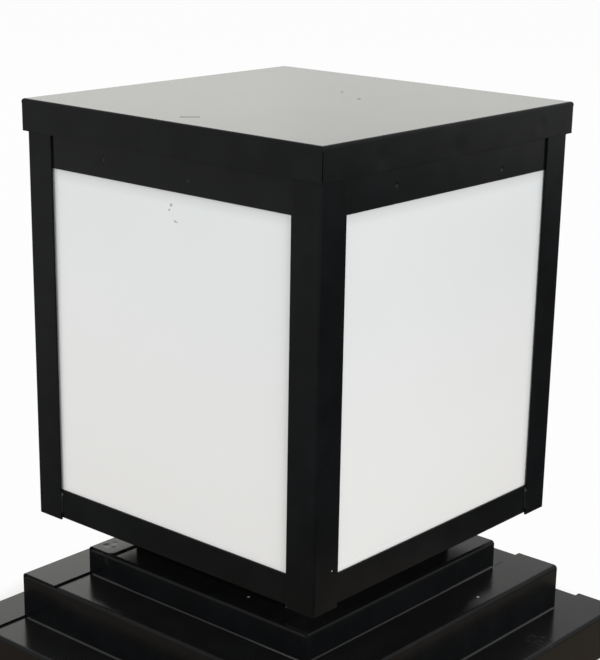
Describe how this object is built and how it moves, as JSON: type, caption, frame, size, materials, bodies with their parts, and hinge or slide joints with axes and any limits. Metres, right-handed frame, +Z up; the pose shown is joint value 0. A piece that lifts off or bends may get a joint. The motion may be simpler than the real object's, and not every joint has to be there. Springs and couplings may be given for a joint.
{
  "type": "post cap lantern",
  "caption": "Square black sheet-metal lantern with opal panes and a lift-off lid, on a stepped base that caps a post or pillar.",
  "frame": {"origin": "middle of the base's foot, at the height of the lowest step's lower edge", "axes": "+Z up through the lid, -Y the front face and +X the right face"},
  "size_m": [0.254, 0.254, 0.303],
  "materials": {
    "base_powder_coat": "smooth satin black powder coat on folded sheet steel",
    "frame_powder_coat": "smooth satin black powder coat on folded sheet steel",
    "lid_powder_coat": "smooth satin black powder coat on folded sheet steel",
    "inner_powder_coat": "black powder coat, thinner inside",
    "opal_acrylic": "polished opal white acrylic sheet",
    "zinc_plated_steel": "zinc plated",
    "grommet_rubber": "matt black rubber",
    "porcelain": "white glazed porcelain",
    "contact_brass": "stamped brass",
    "lamp_tip_metal": "tinned contact",
    "lamp_insulator_glass": "black vitreous insulator",
    "lamp_cap_metal": "nickel-plated cap",
    "lamp_housing_plastic": "white heat-conducting plastic",
    "lamp_board_aluminium": "aluminium board with white lacquer",
    "lamp_globe_plastic": "frosted diffuser",
    "terminal_plastic": "natural moulded plastic",
    "brown_lead": "brown insulation",
    "blue_lead": "blue insulation"
  },
  "bodies": {
    "root": {"base_pan": "inner_powder_coat", "body_floor": "inner_powder_coat", "bottom_rail_back": "frame_powder_coat", "bottom_rail_front": "frame_powder_coat", "bottom_rail_left": "frame_powder_coat", "bottom_rail_right": "frame_powder_coat", "cable_grommet": "grommet_rubber", "corner_post_back_left": "frame_powder_coat", "corner_post_back_right": "frame_powder_coat", "corner_post_front_left": "frame_powder_coat", "corner_post_front_right": "frame_powder_coat", "earth_nut": "zinc_plated_steel", "earth_stud": "zinc_plated_steel", "fixing_screws": "zinc_plated_steel", "holder_bridge": "zinc_plated_steel", "lampholder_body": "porcelain", "lampholder_contact": "contact_brass", "lampholder_shell": "contact_brass", "lead_live": "brown_lead", "lead_neutral": "blue_lead", "low_step_back": "base_powder_coat", "low_step_front": "base_powder_coat", "low_step_left": "base_powder_coat", "low_step_right": "base_powder_coat", "mid_step_back": "base_powder_coat", "mid_step_front": "base_powder_coat", "mid_step_left": "base_powder_coat", "mid_step_right": "base_powder_coat", "neck_back_right": "base_powder_coat", "neck_front_left": "base_powder_coat", "pane_back": "opal_acrylic", "pane_front": "opal_acrylic", "pane_left": "opal_acrylic", "pane_retainer_back_left": "zinc_plated_steel", "pane_retainer_back_right": "zinc_plated_steel", "pane_retainer_front_left": "zinc_plated_steel", "pane_retainer_front_right": "zinc_plated_steel", "pane_right": "opal_acrylic", "terminal_block": "terminal_plastic", "terminal_inserts": "contact_brass", "terminal_screws": "zinc_plated_steel", "top_rail_back": "frame_powder_coat", "top_rail_front": "frame_powder_coat", "top_rail_left": "frame_powder_coat", "top_rail_right": "frame_powder_coat", "top_step_back": "base_powder_coat", "top_step_front": "base_powder_coat", "top_step_left": "base_powder_coat", "top_step_right": "base_powder_coat"},
    "lid": {"lid_cover": "lid_powder_coat"},
    "lamp_thread": {"lamp_tip": "lamp_tip_metal", "lamp_insulator": "lamp_insulator_glass"},
    "lamp": {"lamp_cap": "lamp_cap_metal", "lamp_housing": "lamp_housing_plastic", "lamp_board": "lamp_board_aluminium", "lamp_globe": "lamp_globe_plastic"}
  },
  "joints": [
    {"name": "lid_lift", "type": "slide", "parent": "root", "child": "lid", "axis": [0, 0, 1], "range_m": [0, 0.15]},
    {"name": "lamp_rise", "type": "slide", "parent": "root", "child": "lamp_thread", "axis": [0, 0, 1], "range_m": [0, 0.0109]},
    {"name": "lamp_turn", "type": "hinge", "parent": "lamp_thread", "child": "lamp", "pos_m": [0, 0, 0.13], "axis": [0, 0, 1], "range_deg": [0, 1080]}
  ],
  "couplings": [
    {"joint": "lamp_rise", "follows": "lamp_turn", "m_per_rad": 0.00057757}
  ]
}
